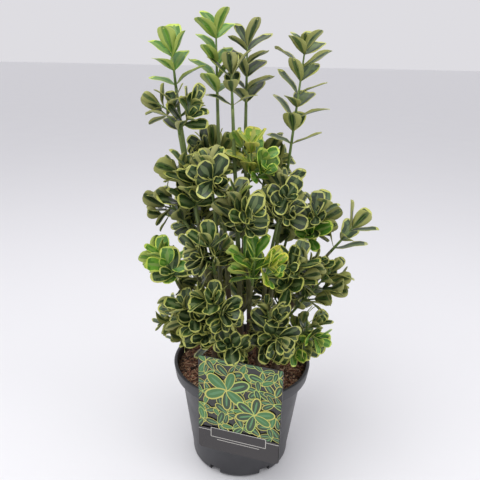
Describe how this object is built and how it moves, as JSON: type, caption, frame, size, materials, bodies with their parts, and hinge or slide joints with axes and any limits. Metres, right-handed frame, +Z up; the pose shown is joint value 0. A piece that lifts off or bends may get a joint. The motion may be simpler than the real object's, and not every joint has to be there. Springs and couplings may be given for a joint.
{
  "type": "potted ovatus aureus japanese euonymus",
  "caption": "Upright variegated evergreen shrub with many leafy stems, standing in a round black nursery pot with a printed card on its rim.",
  "frame": {"origin": "middle of the pot's flat underside", "axes": "+Z up along the plant; -Y is the front, where the card hangs; +X is the viewer's right"},
  "size_m": [0.3022, 0.2409, 0.5956],
  "materials": {
    "pot_plastic": "satin black moulded plastic",
    "bark_chips": "rough bark chips and wood fibre",
    "printed_card": "glossy printed plastic card",
    "bark": "thin green and brown bark",
    "leaf_green": "glossy green leaves with yellow margins"
  },
  "bodies": {
    "root": {"pot": "pot_plastic", "growing_medium": "bark_chips", "label_card": "printed_card", "stem_left": "bark", "stem_middle_left": "bark", "stem_middle_right": "bark", "stem_right": "bark", "stem_front_left": "bark", "stem_front": "bark", "stem_front_right": "bark", "stem_right_wing": "bark", "stem_back_left": "bark", "stem_back": "bark", "stem_back_right": "bark", "bough_left_shoulder": "bark", "bough_bright_centre": "bark", "bough_left_upper": "bark", "bough_left_wing": "bark", "bough_centre_upper": "bark", "bough_right_wing_mid": "bark", "bough_left_low": "bark", "bough_left_centre_low": "bark", "bough_centre_low": "bark", "bough_right_centre_low": "bark", "bough_back_left_upper": "bark", "bough_back_right_upper": "bark", "foliage_left_crown": "leaf_green", "foliage_left_shoulder": "leaf_green", "foliage_middle_left_crown": "leaf_green", "foliage_middle_front_crown": "leaf_green", "foliage_middle_right_crown": "leaf_green", "foliage_right_shoot": "leaf_green", "foliage_bright_centre": "leaf_green", "foliage_left_upper": "leaf_green", "foliage_left_wing": "leaf_green", "foliage_left_centre_upper": "leaf_green", "foliage_centre_upper": "leaf_green", "foliage_right_centre_upper": "leaf_green", "foliage_right_wing_tip": "leaf_green", "foliage_right_wing_mid": "leaf_green", "foliage_right_wing_low": "leaf_green", "foliage_left_low": "leaf_green", "foliage_left_centre_low": "leaf_green", "foliage_centre_low": "leaf_green", "foliage_right_centre_low": "leaf_green", "foliage_left_bottom": "leaf_green", "foliage_centre_rosette": "leaf_green", "foliage_front_rosette": "leaf_green", "foliage_right_centre_bottom": "leaf_green", "foliage_right_bottom": "leaf_green", "foliage_left_foot": "leaf_green", "foliage_back_left_bottom": "leaf_green", "foliage_back_bottom": "leaf_green", "foliage_back_right_bottom": "leaf_green", "foliage_back_left_middle": "leaf_green", "foliage_back_middle": "leaf_green", "foliage_back_right_middle": "leaf_green", "foliage_back_left_upper": "leaf_green", "foliage_back_right_upper": "leaf_green"}
  },
  "joints": []
}
